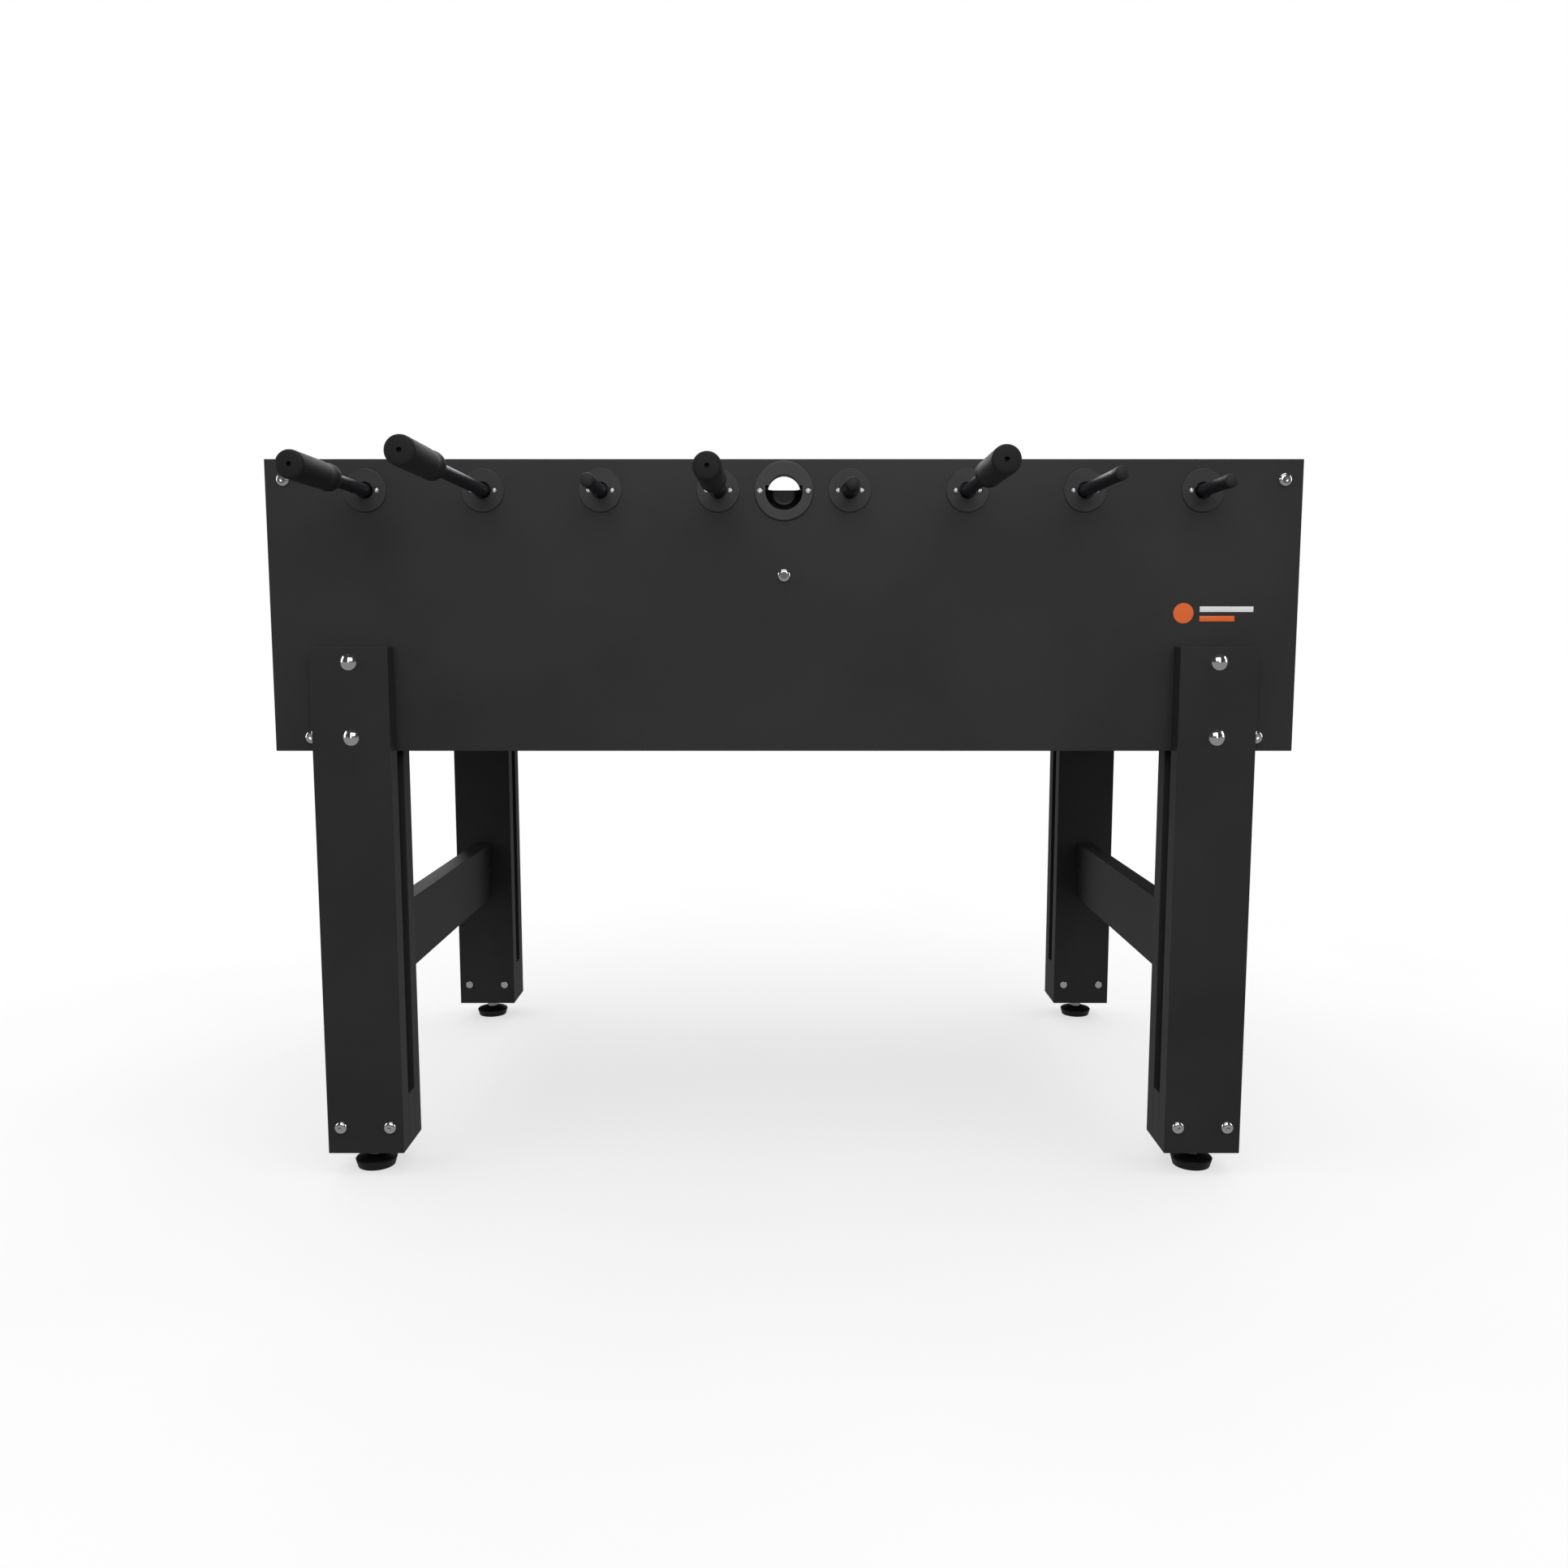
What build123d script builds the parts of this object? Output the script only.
from build123d import *
import math
import os

# A foosball table for two sides: a board cabinet on four forked legs, with eight playing rods.
# Frame: origin on the floor under the table's centre, +X along the table, +Y across it (the rods'
# direction), +Z up. The near side is -Y. The whole table is unchanged by half a turn about Z, so each
# set of pieces is built for the far side (+Y) and turned for the near one.

os.makedirs("parts", exist_ok=True)

# ---------------------------------------------------------------- driving dimensions, mm
BOARD = 28.0                # thickness of every cabinet and leg board
TABLE_HEIGHT = 937.3
PANEL_LENGTH = 1322.5
PANEL_HEIGHT = 372.3
CABINET_WIDTH = 743.0       # over the side panels' outer faces
ARRIS = 0.8                 # softened board edges

ROD_PITCH = 150.0
MIDDLE_GAP = 168.0          # the two middle rods stand further apart, for the serving cup
ROD_COUNT = 8
ROD_DROP = 39.2             # rod axis below the panels' top edge
ROD_R = 8.0
ROD_WALL = 2.0
MEN_PER_ROD = (1, 2, 3, 5, 5, 3, 2, 1)
NEAR_HANDLES = (1, 2, 4, 6)  # rods of the near team, counted from -X
TRAVEL = {1: 87.0, 2: 162.0, 3: 94.0, 5: 57.0}          # each way, by men on the rod
HANDLE_REACH = {1: 258.6, 2: 365.4, 3: 296.9, 5: 245.7}  # handle end beyond the panel face
CAP_REACH = {1: 110.6, 2: 185.7, 3: 118.0, 5: 80.0}      # capped end beyond the panel face

FIELD_TOP = 822.0
FIELD_T = 12.0
MAN_WIDTH = 24.0
MAN_REACH = 72.0            # rod axis to the sole
BUMPER_R = 14.0
BUMPER_LENGTH = 24.0
FIT = 0.06                  # radial clearance of a running fit
SNUG = 0.05                 # radial clearance of a piece fixed on its rod
GAP = 0.3                   # axial clearance between pieces that turn apart

LEG_X = 554.0               # leg centre
LEG_WIDTH = 100.0
LEG_BOTTOM = 31.5
LEG_TOP = 700.0
FILLER_HEIGHT = 71.0
STRETCHER_Z = (235.0, 335.0)

END_PANEL_X = 638.0         # centre of the end panels
RAIL_T = 20.0
GOAL_WIDTH = 200.0
GOAL_HEIGHT = 80.0

# ---------------------------------------------------------------- worked-out places
OUTER = CABINET_WIDTH / 2
INNER = OUTER - BOARD
CABINET_BOTTOM = TABLE_HEIGHT - PANEL_HEIGHT
ROD_Z = TABLE_HEIGHT - ROD_DROP
ROD_X = [(i - (ROD_COUNT - 1) / 2) * ROD_PITCH for i in range(ROD_COUNT)]
ROD_X = [x + math.copysign((MIDDLE_GAP - ROD_PITCH) / 2, x) for x in ROD_X]
END_INNER = END_PANEL_X - BOARD / 2
END_OUTER = END_PANEL_X + BOARD / 2
LEG_XS = (LEG_X, -LEG_X)
TOP_BOLT_Z = 911.4
BOTTOM_BOLT = (614.0, 583.0)
CENTRE_BOLT_Z = 791.0
CARRIAGE_BOLT_ZS = (680.7, 584.6)
LEG_SCREW_OFFSET = 32.5
LEG_SCREW_Z = 67.0
FOOT_Y = OUTER - BOARD / 2

# ---------------------------------------------------------------- small helpers


def save(node, pieces):
    """Write one node, whether one piece or a group of separate ones."""
    pieces = pieces if isinstance(pieces, list) else [pieces]
    solids = [solid for piece in pieces for solid in piece.solids()]
    export_step(Compound(solids) if len(solids) > 1 else solids[0], f"parts/{node}.step")


def block(x, y, z):
    """Box given by its low and high value along each axis."""
    size = [high - low for low, high in (x, y, z)]
    middle = [(low + high) / 2 for low, high in (x, y, z)]
    return Pos(*middle) * Box(*size)


def board(x, y, z):
    """Box with softened edges."""
    piece = block(x, y, z)
    return fillet(piece.edges(), ARRIS)


def bar_y(radius, y, x=0.0, z=0.0):
    """Round bar along Y between two Y values."""
    return Pos(x, (y[0] + y[1]) / 2, z) * Rot(90, 0, 0) * Cylinder(radius, y[1] - y[0])


def turned(*edges):
    """Solid turned about the Y axis from a closed outline of (radius, y) edges."""
    return revolve(make_face(Curve() + list(edges)), Axis.Y)


def upright(piece):
    """Stand a piece made along +Y up along +Z."""
    return Rot(90, 0, 0) * piece


def half_turn(pieces):
    """The same pieces on the other side of the table."""
    if isinstance(pieces, list):
        return [Rot(0, 0, 180) * piece for piece in pieces]
    return Rot(0, 0, 180) * pieces


def dome(radius, low, high):
    """Arc of a spherical dome, from its rim at y = low to its top on the axis at y = high."""
    rise = high - low
    sphere = (radius ** 2 + rise ** 2) / (2 * rise)
    half = math.asin(radius / sphere) / 2
    middle = (sphere * math.sin(half), high - sphere + sphere * math.cos(half))
    return ThreePointArc((radius, low), middle, (0, high))


def button_head(radius, height, socket):
    """Domed head with a hex socket, its seat at y = 0 and its top towards +Y."""
    rim = 0.25 * height
    crown = 0.55 * radius
    head = turned(
        Polyline((0, 0), (radius, 0), (radius, rim)),
        ThreePointArc((radius, rim), (0.86 * radius, 0.72 * height), (crown, height)),
        Polyline((crown, height), (0, height), (0, 0)),
    )
    hexagon = extrude(RegularPolygon(socket / 2, 6, major_radius=False), 0.7 * height)
    return head - Pos(0, height + 0.01, 0) * Rot(90, 0, 0) * hexagon


def button_bolt(head_r, head_h, socket, shank_r, length):
    """Socket button bolt that points to -Y from a seat at y = 0."""
    return button_head(head_r, head_h, socket) + bar_y(shank_r, (-length, 0.1))


def cross_screw(head_r, head_h, shank_r, length):
    """Oval-head screw with a cross recess, its seat at y = 0."""
    head = turned(
        Polyline((0, 0), (head_r, 0), (head_r, 0.35 * head_h)),
        dome(head_r, 0.35 * head_h, head_h),
        Line((0, head_h), (0, 0)),
    )
    arm, slot = 1.1 * head_r, 0.28 * head_r
    cross = Box(arm, head_h, slot) + Box(slot, head_h, arm)
    return head - Pos(0, 0.95 * head_h, 0) * cross + bar_y(shank_r, (-length, 0.1))


# ---------------------------------------------------------------- rod bearings
FLANGE_R = 27.5
FLANGE_T = 2.0
SLEEVE_R = 12.2
MOUTH_R = 10.25             # open mouth around the rod
MOUTH_DEPTH = 6.0
NUT_R = 21.0
NUT_T = 4.0
BEARING_SCREW_X = 15.0
SCREW_SINK_R = 4.0
SCREW_SEAT = 0.6
SCREW_R = 1.7


def rod_bearing(x):
    """Flanged bush through the far panel, with a wide mouth outside and a close bore inside."""
    bore = ROD_R + FIT
    inside = INNER - NUT_T
    lip = OUTER + FLANGE_T
    bush = turned(
        Polyline(
            (bore, inside), (SLEEVE_R, inside), (SLEEVE_R, OUTER), (FLANGE_R, OUTER),
            (FLANGE_R, lip - 0.8), (FLANGE_R - 0.8, lip), (MOUTH_R + 0.8, lip),
            (MOUTH_R, lip - 0.8), (MOUTH_R, OUTER - MOUTH_DEPTH), (bore, OUTER - MOUTH_DEPTH),
            (bore, inside),
        )
    )
    for offset in (-BEARING_SCREW_X, BEARING_SCREW_X):
        bush -= bar_y(SCREW_SINK_R, (OUTER + SCREW_SEAT, lip + 1), offset)
        bush -= bar_y(SCREW_R + SNUG, (OUTER - 1, lip), offset)
    return Pos(x, 0, ROD_Z) * bush


def bearing_nut(x):
    """Ring nut that holds the bush from inside the cabinet."""
    ring = bar_y(NUT_R, (INNER - NUT_T, INNER)) - bar_y(SLEEVE_R + SNUG, (INNER - NUT_T - 1, INNER + 1))
    rim = ring.edges().filter_by(GeomType.CIRCLE).group_by(SortBy.RADIUS)[-1].group_by(Axis.Y)[0]
    ring = chamfer(rim, 1.0)
    for angle in range(0, 360, 60):
        notch = Pos(NUT_R, INNER - NUT_T, 0) * Box(4, 4, 5)
        ring -= Rot(0, angle, 0) * notch
    return Pos(x, 0, ROD_Z) * ring


# ---------------------------------------------------------------- serving cups
CUP_Z = ROD_Z - 0.6
RING_R = 37.7
RING_T = 3.0
CUP_SLEEVE_R = 26.6
BOWL_R = 23.8
BOWL_TOP = 7.0              # the wide bowl ends this far above the centre
THROAT_R = 19.7
CUP_BACK_T = 3.0
CUP_RIM = 3.6               # top of the cup's back wall above the centre
CUP_SCREW_X = 30.8
CUP_SCREW_R = 2.1
CUP_SINK_R = 4.6
CUP_SCREW_SEAT = 1.2        # screw seats above the panel's face


def serving_cup():
    """Ring on the far panel's outer face, with a bowl below and an open throat above."""
    lip = OUTER + RING_T
    inside = INNER - 2.0
    body = turned(
        Polyline((0, inside), (CUP_SLEEVE_R, inside), (CUP_SLEEVE_R, OUTER), (RING_R, OUTER)),
        Line((RING_R, OUTER), (RING_R, lip - 1.4)),
        ThreePointArc((RING_R, lip - 1.4), (RING_R - 0.4, lip - 0.4), (RING_R - 1.4, lip)),
        Polyline((RING_R - 1.4, lip), (0, lip), (0, inside)),
    )
    whole = (inside - 1, lip + 1)
    above = block((-RING_R, RING_R), whole, (CUP_RIM, RING_R))
    below = block((-RING_R, RING_R), whole, (-RING_R, BOWL_TOP))
    body -= bar_y(THROAT_R, whole) & above
    body -= bar_y(BOWL_R, (inside + CUP_BACK_T, lip + 1)) & below
    for offset in (-CUP_SCREW_X, CUP_SCREW_X):
        body -= bar_y(CUP_SCREW_R + SNUG, whole, offset)
        body -= bar_y(CUP_SINK_R, (OUTER + CUP_SCREW_SEAT, lip + 1), offset)
    return Pos(0, 0, CUP_Z) * body


# ---------------------------------------------------------------- fasteners
BOLT_R = 4.0
BOLT_LENGTH = 68.0
BOLT_HEAD_R = 8.75
BOLT_HEAD_H = 4.4
BARREL_R = 5.0
BARREL_INSET = 52.0         # barrel nut's axis from the panel's outer face
CARRIAGE_R = 10.35
LEG_SCREW_R = 3.0
LEG_SCREW_HEAD_R = 8.5
LEG_SCREW_HEAD_H = 4.2
SLEEVE_NUT_R = 4.5
SLEEVE_NUT_HEAD_R = 6.5
SLEEVE_NUT_HEAD_H = 2.5
STRETCHER_BOLT_Z = sum(STRETCHER_Z) / 2
STRETCHER_BARREL_INSET = 14.0
LEG_OUT = OUTER + BOARD     # outer face of the outer leg boards
LEG_IN = INNER - BOARD      # inner face of the inner leg boards

PANEL_BOLTS = [(x, TOP_BOLT_Z) for x in (-END_PANEL_X, END_PANEL_X)]
PANEL_BOLTS += [(x, BOTTOM_BOLT[1]) for x in (-BOTTOM_BOLT[0], BOTTOM_BOLT[0])]
PANEL_BOLTS += [(0.0, CENTRE_BOLT_Z)]
CARRIAGE_BOLTS = [(x, z) for x in LEG_XS for z in CARRIAGE_BOLT_ZS]
LEG_SCREWS = [(x + side * LEG_SCREW_OFFSET, LEG_SCREW_Z) for x in LEG_XS for side in (-1, 1)]


def carriage_bolt():
    """Plain domed bolt through a leg and the panel, with its washer and nut inside; y = 0 at the leg's face."""
    through = LEG_OUT - LEG_IN
    head = turned(
        Line((0, 0), (CARRIAGE_R, 0)),
        Line((CARRIAGE_R, 0), (CARRIAGE_R, 0.8)),
        dome(CARRIAGE_R, 0.8, 5.0),
        Line((0, 5.0), (0, 0)),
    )
    bolt = head + bar_y(BOLT_R, (-through - 12, 0.1))
    washer = bar_y(9, (-through - 1.6, -through)) - bar_y(BOLT_R + SNUG, (-through - 2, 1 - through))
    flats = extrude(RegularPolygon(6.5, 6, major_radius=False), 6.5)
    nut = Pos(0, -through - 1.6, 0) * Rot(90, 0, 0) * flats
    nut -= bar_y(BOLT_R + SNUG, (-through - 9, -through))
    return [bolt, washer, nut]


def sleeve_nut():
    """Barrel of a leg screw's sleeve nut, flush through the inner leg board."""
    barrel = bar_y(SLEEVE_NUT_R, (LEG_IN - 1, INNER)) - bar_y(LEG_SCREW_R + SNUG, (LEG_IN + 4, INNER + 1))
    flange = bar_y(SLEEVE_NUT_HEAD_R, (LEG_IN - SLEEVE_NUT_HEAD_H, LEG_IN))
    rim = flange.edges().filter_by(GeomType.CIRCLE).group_by(Axis.Y)[0]
    return fillet(rim, 1.2) + barrel


def barrel_nut(x, y, z, length, along):
    """Cross dowel that a bolt along Y screws into; its own axis is along X or Z."""
    turn = Rot(0, 90, 0) if along == "X" else Rot(0, 0, 0)
    return Pos(x, y, z) * (turn * Cylinder(BARREL_R, length)) - bar_y(BOLT_R + SNUG, (y - 20, y + 20), x, z)


# ---------------------------------------------------------------- side panels
def side_panel():
    """Far side panel, drilled for its bearings, serving cup and bolts."""
    panel = board((-PANEL_LENGTH / 2, PANEL_LENGTH / 2), (INNER, OUTER), (CABINET_BOTTOM, TABLE_HEIGHT))
    through = (INNER - 1, OUTER + 1)
    pilot = (OUTER - 15, OUTER + 1)
    for x in ROD_X:
        panel -= bar_y(SLEEVE_R + SNUG, through, x, ROD_Z)
        for offset in (-BEARING_SCREW_X, BEARING_SCREW_X):
            panel -= bar_y(SCREW_R + SNUG, pilot, x + offset, ROD_Z)
    panel -= bar_y(CUP_SLEEVE_R + SNUG, through, 0, CUP_Z)
    for offset in (-CUP_SCREW_X, CUP_SCREW_X):
        panel -= bar_y(CUP_SCREW_R + SNUG, pilot, offset, CUP_Z)
    for x, z in PANEL_BOLTS + CARRIAGE_BOLTS:
        panel -= bar_y(BOLT_R + SNUG, through, x, z)
    return panel


save("side_panel_far", side_panel())
save("side_panel_near", half_turn(side_panel()))

# ---------------------------------------------------------------- end panels, goals and playfield
CUP_WALL = 4.0
GOAL_CUP_DEPTH = 65.0
GOAL_CUP_Y = GOAL_WIDTH / 2 + 22.0
GOAL_CUP_Z = (FIELD_TOP - 38.0, FIELD_TOP + GOAL_HEIGHT + 8.0)
GOAL_FLANGE = 18.0
GOAL_FLANGE_T = 3.0
GOAL_SCREWS = [(y, z) for y in (-131.0, 131.0) for z in (GOAL_CUP_Z[0] + 14.0, GOAL_CUP_Z[1] - 6.0)]


def along_x(piece):
    """Turn a piece made towards +Y so that it points to +X."""
    return Rot(0, 0, -90) * piece


def end_panel():
    """Right end panel between the side panels, with the goal mouth."""
    panel = board((END_INNER, END_OUTER), (-INNER, INNER), (CABINET_BOTTOM, TABLE_HEIGHT))
    mouth = block((END_INNER - 1, END_OUTER + 1), (-GOAL_WIDTH / 2, GOAL_WIDTH / 2),
                  (FIELD_TOP, FIELD_TOP + GOAL_HEIGHT))
    corners = mouth.edges().filter_by(Axis.X).group_by(Axis.Z)[-1]
    panel -= fillet(corners, 18.0)
    for side in (-1, 1):
        edge = sorted((side * (INNER + 1), side * (OUTER - BOLT_LENGTH - 2)))
        panel -= bar_y(BOLT_R + SNUG, edge, END_PANEL_X, TOP_BOLT_Z)
        panel -= Pos(END_PANEL_X, side * (OUTER - BARREL_INSET), TOP_BOLT_Z) * Rot(0, 90, 0) * Cylinder(
            BARREL_R + SNUG, BOARD + 2)
    for y, z in GOAL_SCREWS:
        panel -= Pos(0, y, z) * along_x(bar_y(SCREW_R + SNUG, (END_OUTER - 14, END_OUTER + 1)))
    return panel


def goal_cup():
    """Moulded tray outside the right goal: open towards the goal and at the top."""
    outside = block((END_OUTER, END_OUTER + GOAL_CUP_DEPTH), (-GOAL_CUP_Y, GOAL_CUP_Y), GOAL_CUP_Z)
    outside = fillet(outside.edges().filter_by(Axis.Z).group_by(Axis.X)[-1], 20.0)
    flange = block((END_OUTER, END_OUTER + GOAL_FLANGE_T),
                   (-GOAL_CUP_Y - GOAL_FLANGE, GOAL_CUP_Y + GOAL_FLANGE),
                   (GOAL_CUP_Z[0], GOAL_CUP_Z[1] + 6.0))
    flange = fillet(flange.edges().filter_by(Axis.X), 6.0)
    inside = block((END_OUTER - 1, END_OUTER + GOAL_CUP_DEPTH - CUP_WALL),
                   (-GOAL_CUP_Y + CUP_WALL, GOAL_CUP_Y - CUP_WALL),
                   (GOAL_CUP_Z[0] + CUP_WALL, GOAL_CUP_Z[1] + 20.0))
    inside = fillet(inside.edges().filter_by(Axis.Z).group_by(Axis.X)[-1], 16.0)
    rim = Pos(0, 0, GOAL_CUP_Z[1]) * block((END_OUTER - 1, END_OUTER + 10), (-GOAL_CUP_Y, GOAL_CUP_Y), (0, 10))
    cup = outside + flange - inside - rim
    for y, z in GOAL_SCREWS:
        cup -= Pos(0, y, z) * along_x(bar_y(SCREW_R + SNUG, (END_OUTER - 1, END_OUTER + 10)))
    return cup


def frame_rails():
    """Rails that tie the cabinet together and carry the playfield, each a separate batten."""
    under = FIELD_TOP - FIELD_T
    member = (-BOARD / 2, BOARD / 2)
    cross = block(member, (-INNER, INNER), (2 * CENTRE_BOLT_Z - under, under))
    bottom = block((BOTTOM_BOLT[0] - RAIL_T / 2, END_INNER), (-INNER, INNER),
                   (CABINET_BOTTOM, 2 * BOTTOM_BOLT[1] - CABINET_BOTTOM))
    head = block((END_INNER - RAIL_T, END_INNER), (-INNER, INNER), (under - BOARD, under))
    bearer = block((BOARD / 2, END_INNER - RAIL_T), (INNER - RAIL_T, INNER), (under - BOARD, under))
    for side in (-1, 1):
        hole = sorted((side * (INNER + 1), side * (OUTER - BOLT_LENGTH - 2)))
        y = side * (OUTER - BARREL_INSET)
        cross -= bar_y(BOLT_R + SNUG, hole, 0, CENTRE_BOLT_Z)
        cross -= Pos(0, y, CENTRE_BOLT_Z) * Rot(0, 90, 0) * Cylinder(BARREL_R + SNUG, BOARD + 2)
        bottom -= bar_y(BOLT_R + SNUG, hole, BOTTOM_BOLT[0], BOTTOM_BOLT[1])
        bottom -= Pos(BOTTOM_BOLT[0], y, BOTTOM_BOLT[1]) * Cylinder(BARREL_R + SNUG, BOARD + 20)
    mirrored_bearer = mirror(bearer, Plane.YZ)
    right = [bottom, head, bearer]
    return [cross] + right + half_turn(right) + [mirrored_bearer, half_turn(mirrored_bearer)]


save("end_panel_right", end_panel())
save("end_panel_left", half_turn(end_panel()))
save("goal_cup_right", goal_cup())
save("goal_cup_left", half_turn(goal_cup()))
save("frame_rails", frame_rails())
save("playfield", block((-END_INNER, END_INNER), (-INNER, INNER), (FIELD_TOP - FIELD_T, FIELD_TOP)))
save("serving_cup_far", serving_cup())
save("serving_cup_near", half_turn(serving_cup()))

bearings = [rod_bearing(x) for x in ROD_X] + [bearing_nut(x) for x in ROD_X]
save("rod_bearings", bearings + half_turn(bearings))

# ---------------------------------------------------------------- screws, bolts and nuts
small = cross_screw(3.2, 2.4, SCREW_R, 14.0)
large = cross_screw(3.9, 2.8, CUP_SCREW_R, 14.0)
screws = [Pos(x + offset, OUTER + SCREW_SEAT, ROD_Z) * small
          for x in ROD_X for offset in (-BEARING_SCREW_X, BEARING_SCREW_X)]
screws += [Pos(offset, OUTER + CUP_SCREW_SEAT, CUP_Z) * large for offset in (-CUP_SCREW_X, CUP_SCREW_X)]
screws += [Pos(END_OUTER + GOAL_FLANGE_T, y, z) * along_x(cross_screw(3.8, 2.4, SCREW_R, 15.0))
           for y, z in GOAL_SCREWS]
save("face_screws", screws + half_turn(screws))

panel_bolt = button_bolt(BOLT_HEAD_R, BOLT_HEAD_H, 5.0, BOLT_R, BOLT_LENGTH)
bolts = [Pos(x, OUTER, z) * panel_bolt for x, z in PANEL_BOLTS]
save("panel_bolts", bolts + half_turn(bolts))

barrel_y = OUTER - BARREL_INSET
barrels = [barrel_nut(x, barrel_y, TOP_BOLT_Z, 22.0, "X") for x in (-END_PANEL_X, END_PANEL_X)]
barrels += [barrel_nut(x, barrel_y, BOTTOM_BOLT[1], 22.0, "Z") for x in (-BOTTOM_BOLT[0], BOTTOM_BOLT[0])]
barrels += [barrel_nut(0, barrel_y, CENTRE_BOLT_Z, 22.0, "X")]
barrels += [barrel_nut(x, LEG_IN - STRETCHER_BARREL_INSET, STRETCHER_BOLT_Z, 26.0, "X") for x in LEG_XS]
save("barrel_nuts", barrels + half_turn(barrels))

domed = carriage_bolt()
carriage = [Pos(x, LEG_OUT, z) * piece for x, z in CARRIAGE_BOLTS for piece in domed]
save("carriage_bolts", carriage + half_turn(carriage))

leg_screw = button_bolt(LEG_SCREW_HEAD_R, LEG_SCREW_HEAD_H, 4.0, LEG_SCREW_R, 76.0)
stretcher_bolt = button_bolt(7.0, 3.6, 4.0, BOLT_R, BOARD + 30.0)
leg_fixings = [Pos(x, LEG_OUT, z) * leg_screw for x, z in LEG_SCREWS]
leg_fixings += [Pos(x, 0, z) * sleeve_nut() for x, z in LEG_SCREWS]
leg_fixings += [Pos(x, INNER, STRETCHER_BOLT_Z) * stretcher_bolt for x in LEG_XS]
save("leg_screws", leg_fixings + half_turn(leg_fixings))

# ---------------------------------------------------------------- legs
STEM_R = 5.0
STEM_TOP = 82.0
PAD_TOP_R = 27.5
PAD_FOOT_R = 24.5
PAD_RIM_Z = 12.0
PAD_CROWN_Z = 16.5
PAD_CROWN_R = 10.0
SOCKET_FLOOR = 5.0
HEX_ACROSS = 17.0
HEX_HEIGHT = 7.0


def leg_board(x, y, holes):
    """One of a leg's two upright boards, with its holes as (x, z, radius)."""
    piece = board((x - LEG_WIDTH / 2, x + LEG_WIDTH / 2), y, (LEG_BOTTOM, LEG_TOP))
    for hole_x, hole_z, radius in holes:
        piece -= bar_y(radius + SNUG, (y[0] - 1, y[1] + 1), hole_x, hole_z)
    return piece


def near_leg(holes, x):
    """The holes that belong to the leg at x."""
    return [(hole_x, z) for hole_x, z in holes if abs(hole_x - x) < LEG_WIDTH / 2]


outer_boards, inner_boards, fillers, stretchers = [], [], [], []
for x in LEG_XS:
    carriage_holes = [(hx, hz, BOLT_R) for hx, hz in near_leg(CARRIAGE_BOLTS, x)]
    screw_spots = near_leg(LEG_SCREWS, x)
    outer_boards.append(
        leg_board(x, (OUTER, LEG_OUT), carriage_holes + [(hx, hz, LEG_SCREW_R) for hx, hz in screw_spots]))
    inner_holes = carriage_holes + [(hx, hz, SLEEVE_NUT_R) for hx, hz in screw_spots]
    inner_boards.append(leg_board(x, (LEG_IN, INNER), inner_holes + [(x, STRETCHER_BOLT_Z, BOLT_R)]))
    filler = board((x - LEG_WIDTH / 2, x + LEG_WIDTH / 2), (INNER, OUTER), (LEG_BOTTOM, LEG_BOTTOM + FILLER_HEIGHT))
    for hx, hz in screw_spots:
        filler -= bar_y(LEG_SCREW_R + SNUG, (INNER - 1, OUTER + 1), hx, hz)
    filler -= Pos(x, FOOT_Y, STEM_TOP / 2 + 5) * Cylinder(STEM_R + FIT, STEM_TOP + 10)
    fillers.append(filler)
    stretcher = board((x - BOARD / 2, x + BOARD / 2), (-LEG_IN, LEG_IN), STRETCHER_Z)
    for side in (-1, 1):
        end = sorted((side * (LEG_IN + 1), side * (LEG_IN - 32)))
        stretcher -= bar_y(BOLT_R + SNUG, end, x, STRETCHER_BOLT_Z)
        stretcher -= Pos(x, side * (LEG_IN - STRETCHER_BARREL_INSET), STRETCHER_BOLT_Z) * Rot(0, 90, 0) * Cylinder(
            BARREL_R + SNUG, BOARD + 2)
    stretchers.append(stretcher)
save("leg_outer_boards", outer_boards + half_turn(outer_boards))
save("leg_inner_boards", inner_boards + half_turn(inner_boards))
save("leg_filler_blocks", fillers + half_turn(fillers))
save("leg_stretchers", stretchers)


# ---------------------------------------------------------------- levelling feet
def foot_pad():
    """Moulded pad with a socket for the stem's end, standing on z = 0."""
    outline = Polyline(
        (0, 0), (PAD_FOOT_R, 0), (PAD_TOP_R, PAD_RIM_Z - 1.5), (PAD_TOP_R - 1.5, PAD_RIM_Z),
        (PAD_CROWN_R, PAD_CROWN_Z), (STEM_R + FIT, PAD_CROWN_Z), (STEM_R + FIT, SOCKET_FLOOR),
        (0, SOCKET_FLOOR), (0, 0),
    )
    return upright(turned(outline))


def foot_stem():
    """Threaded stem, drawn at its outer diameter, with the hexagon that a spanner turns."""
    low = SOCKET_FLOOR + GAP
    stem = Pos(0, 0, (low + STEM_TOP) / 2) * Cylinder(STEM_R, STEM_TOP - low)
    hexagon = extrude(RegularPolygon(HEX_ACROSS / 2, 6, major_radius=False), HEX_HEIGHT)
    return stem + Pos(0, 0, PAD_CROWN_Z + GAP) * hexagon


for side_name, side in (("near", -1), ("far", 1)):
    for end_name, end in (("left", -1), ("right", 1)):
        place = Pos(end * LEG_X, side * FOOT_Y, 0)
        save(f"foot_{side_name}_{end_name}_pad", place * foot_pad())
        save(f"foot_{side_name}_{end_name}_stem", place * foot_stem())

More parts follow.
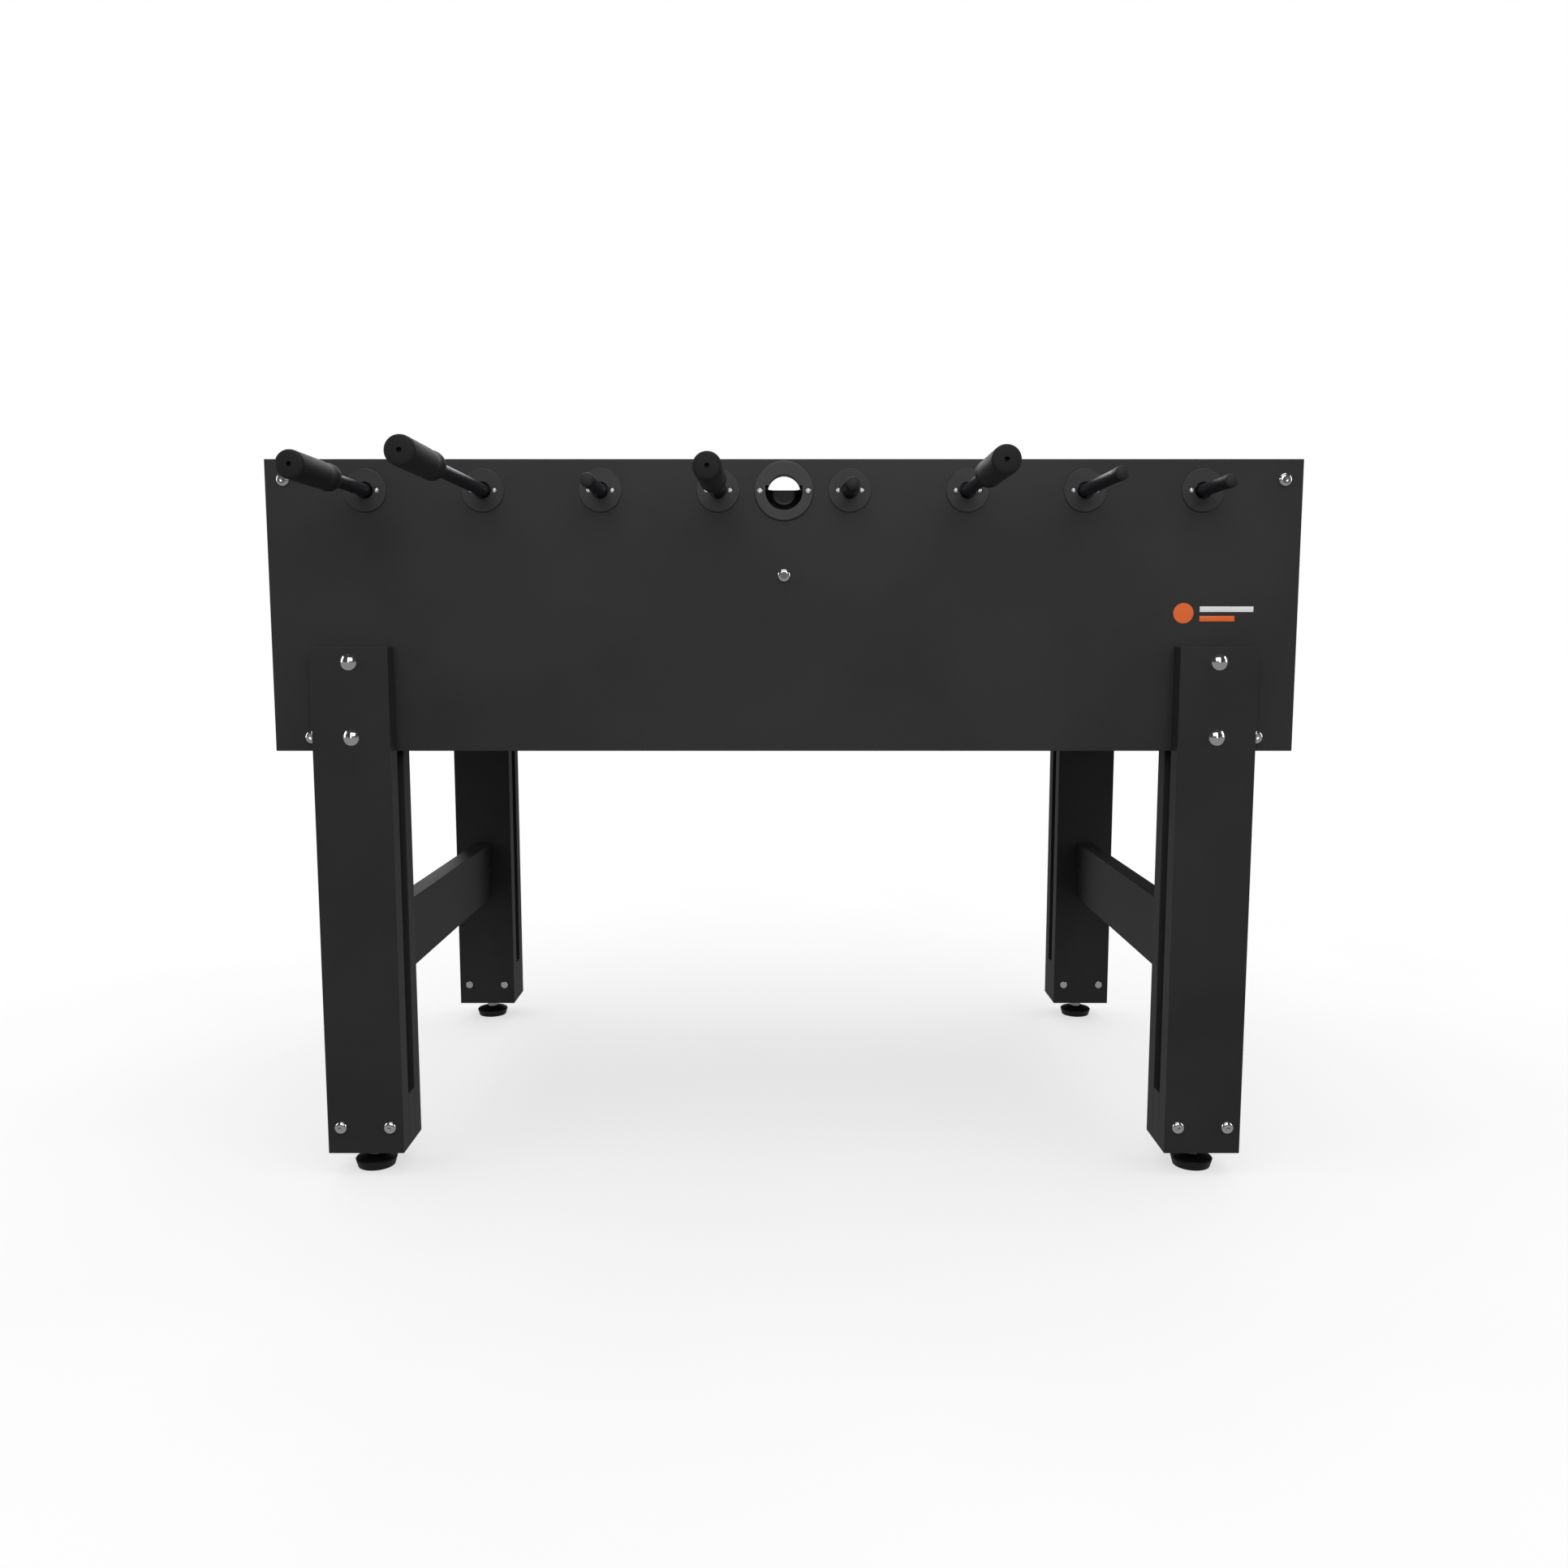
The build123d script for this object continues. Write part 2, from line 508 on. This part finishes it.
# ---------------------------------------------------------------- playing rods
# Each rod is built along Y with its handle towards -Y and its men facing +X, then put in place.
STOP_FACE = INNER - NUT_T - 0.5     # where a bumper comes to rest against a bearing
GRIP_LENGTH = 130.0
GRIP_R = 16.2
GRIP_NECK = (15.0, 105.0)           # radius and place of the narrow neck, from the grip's end
COLLAR_RIDGE = (16.3, 117.0)        # radius and start of the collar behind it
GRIP_END_HOLE_R = 2.75
GRIP_WALL = 10.0
CAP_LENGTH = 20.0
CAP_R = 8.5
CAP_WALL = 3.0
COLLAR_R = 12.0
COLLAR_LENGTH = 12.0


def outermost_face(men):
    """How far from the rod's middle the last man, or the goalkeeper's stop collar, reaches."""
    return STOP_FACE - BUMPER_LENGTH - GAP - TRAVEL[men]


def man_places(men):
    """Y of each man, evenly spread so that the last one reaches the outermost face."""
    if men == 1:
        return [0.0]
    last = outermost_face(men) - MAN_WIDTH / 2
    return [-last + 2 * last * i / (men - 1) for i in range(men)]


def player():
    """One man, clamped on the rod at the origin, standing down and facing +X."""
    half = MAN_WIDTH / 2
    hub = bar_y(11.5, (-half, half))
    chest = fillet(block((-8.5, 8.5), (-half, half), (0, 22)).edges(), 4.0)
    head = Pos(0, 0, 28.5) * Sphere(8.5)
    hips = Plane.XY.offset(-6) * Rectangle(16, 21)
    ankles = Plane.XY.offset(-56) * Rectangle(11, 14)
    legs = loft([hips.face(), ankles.face()])
    boot = block((-8.0, 9.0), (-11.0, 11.0), (-MAN_REACH, -54.0))
    boot = fillet(boot.edges().filter_by(Axis.Z), 3.0)
    man = hub + chest + head + legs + boot
    return man - bar_y(ROD_R + SNUG, (-half - 1, half + 1))


def grip(end):
    """Moulded grip whose outer end is at y = end, with a neck and a collar towards the table."""
    root = end + GRIP_LENGTH
    face = GRIP_R - 3.2
    nose = ThreePointArc((face, end), (face + 2.3, end + 0.9), (GRIP_R, end + 3.2))
    shoulder = (GRIP_R - 0.2, end + 92)
    collar = (COLLAR_RIDGE[0], end + COLLAR_RIDGE[1])
    neck = ThreePointArc(shoulder, (GRIP_NECK[0], end + GRIP_NECK[1]), collar)
    ridge_end = (collar[0], root - 8)
    bore = ROD_R + SNUG
    return turned(
        Line((GRIP_END_HOLE_R, end), (face, end)), nose,
        Line((GRIP_R, end + 3.2), shoulder), neck, Line(collar, ridge_end),
        ThreePointArc(ridge_end, (15.2, root - 2.8), (11.5, root)),
        Polyline((11.5, root), (bore, root), (bore, end + GRIP_WALL),
                 (GRIP_END_HOLE_R, end + GRIP_WALL), (GRIP_END_HOLE_R, end)),
    )


def end_cap(end):
    """Rubber cap over the rod's other end, its outer face at y = end."""
    bore = ROD_R + SNUG
    return turned(
        Polyline(
            (0, end), (CAP_R - 3.0, end), (CAP_R - 0.4, end - 1.6), (CAP_R, end - 3.4),
            (CAP_R, end - CAP_LENGTH), (bore, end - CAP_LENGTH), (bore, end - CAP_WALL),
            (0, end - CAP_WALL), (0, end),
        )
    )


def bumper(start):
    """Rubber buffer, loose on the rod, from y = start outwards."""
    ring = bar_y(BUMPER_R, (start, start + BUMPER_LENGTH))
    ring = fillet(ring.edges().filter_by(GeomType.CIRCLE), 2.0)
    return ring - bar_y(ROD_R + FIT, (start - 1, start + BUMPER_LENGTH + 1))


def stop_collar(start):
    """Steel collar fixed on the goalkeeper's rod, which its bumper rests against."""
    bore = bar_y(ROD_R + SNUG, (start - 1, start + COLLAR_LENGTH + 1))
    return bar_y(COLLAR_R, (start, start + COLLAR_LENGTH)) - bore


man = player()
for number, (x, men) in enumerate(zip(ROD_X, MEN_PER_ROD), start=1):
    facing = 0 if number in NEAR_HANDLES else 180
    place = Pos(x, 0, ROD_Z) * Rot(0, 0, facing)
    handle_end = -(OUTER + HANDLE_REACH[men])
    cap_end = OUTER + CAP_REACH[men]
    span = (handle_end + GRIP_WALL, cap_end - CAP_WALL)
    tube = bar_y(ROD_R, span) - bar_y(ROD_R - ROD_WALL, (span[0] - 1, span[1] + 1))
    shaft = [place * tube]
    buffer_start = outermost_face(men) + GAP
    if men == 1:
        stop = stop_collar(outermost_face(men) - COLLAR_LENGTH)
        shaft += [place * stop, place * half_turn(stop)]
    save(f"rod_{number}_tube", shaft)
    save(f"rod_{number}_players", [place * Pos(0, y, 0) * man for y in man_places(men)])
    save(f"rod_{number}_grip_and_cap", [place * grip(handle_end), place * end_cap(cap_end)])
    save(f"rod_{number}_bumpers", [place * bumper(buffer_start), place * half_turn(bumper(buffer_start))])
